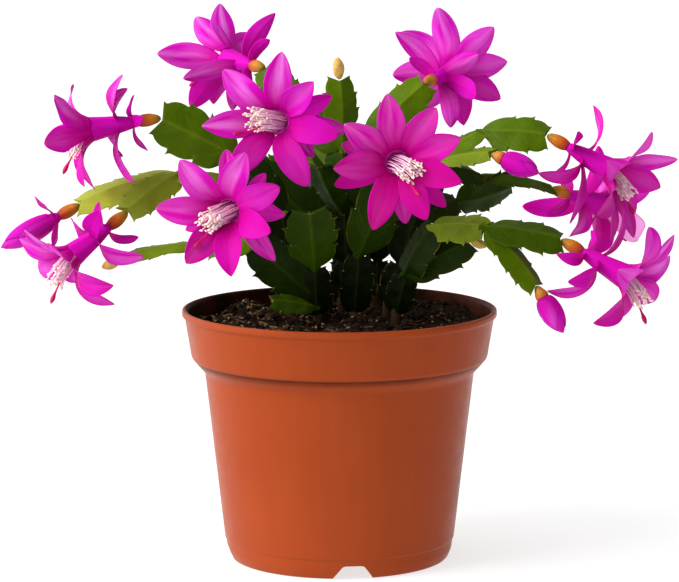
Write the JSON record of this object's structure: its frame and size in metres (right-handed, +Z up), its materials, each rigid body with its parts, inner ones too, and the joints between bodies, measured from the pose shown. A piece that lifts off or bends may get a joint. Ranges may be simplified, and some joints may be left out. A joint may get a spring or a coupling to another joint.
{
  "type": "potted christmas cactus",
  "caption": "Flowering holiday cactus in a round tapered nursery pot: flat toothed jointed stems arch out of the soil and carry open tubular blooms and buds.",
  "frame": {"origin": "on the pot's axis, at the plane its foot rests on", "axes": "+Z up along the pot's axis, -Y towards the side the picture shows, +X to the viewer's right"},
  "size_m": [0.2775, 0.1692, 0.2249],
  "materials": {
    "pot": "satin terracotta-coloured plastic",
    "soil": "dark moist potting mix with bark flecks",
    "stem": "waxy green leaf-like segments",
    "petal": "thin silky magenta petals",
    "stamen": "cream-pink filaments and pollen",
    "style": "waxy crimson",
    "bud_green": "waxy orange-brown to yellow-green"
  },
  "bodies": {
    "root": {"bloom_front_high_ovary": "bud_green", "bloom_front_high_petals": "petal", "bloom_front_high_stamens": "stamen", "bloom_front_high_style": "style", "bloom_front_low_ovary": "bud_green", "bloom_front_low_petals": "petal", "bloom_front_low_stamens": "stamen", "bloom_front_low_style": "style", "bloom_front_right_ovary": "bud_green", "bloom_front_right_petals": "petal", "bloom_front_right_stamens": "stamen", "bloom_front_right_style": "style", "bloom_left_end_ovary": "bud_green", "bloom_left_end_petals": "petal", "bloom_left_high_ovary": "bud_green", "bloom_left_high_petals": "petal", "bloom_left_high_stamens": "stamen", "bloom_left_high_style": "style", "bloom_left_low_ovary": "bud_green", "bloom_left_low_petals": "petal", "bloom_left_low_stamens": "stamen", "bloom_left_low_style": "style", "bloom_right_back_ovary": "bud_green", "bloom_right_back_petals": "petal", "bloom_right_back_stamens": "stamen", "bloom_right_back_style": "style", "bloom_right_high_ovary": "bud_green", "bloom_right_high_petals": "petal", "bloom_right_high_stamens": "stamen", "bloom_right_high_style": "style", "bloom_right_low_ovary": "bud_green", "bloom_right_low_petals": "petal", "bloom_right_low_stamens": "stamen", "bloom_right_low_style": "style", "bloom_top_left_ovary": "bud_green", "bloom_top_left_petals": "petal", "bloom_top_left_stamens": "stamen", "bloom_top_left_style": "style", "bloom_top_right_ovary": "bud_green", "bloom_top_right_petals": "petal", "bloom_top_right_stamens": "stamen", "bloom_top_right_style": "style", "bud_left_young": "bud_green", "bud_right_high_cup": "bud_green", "bud_right_high_petals": "petal", "bud_right_low_cup": "bud_green", "bud_right_low_petals": "petal", "bud_right_young": "bud_green", "bud_top_young": "bud_green", "pot": "pot", "soil": "soil", "stem_back": "stem", "stem_back_right": "stem", "stem_centre": "stem", "stem_front_left": "stem", "stem_front_right": "stem", "stem_left": "stem", "stem_right_high": "stem", "stem_right_low": "stem"}
  },
  "joints": []
}
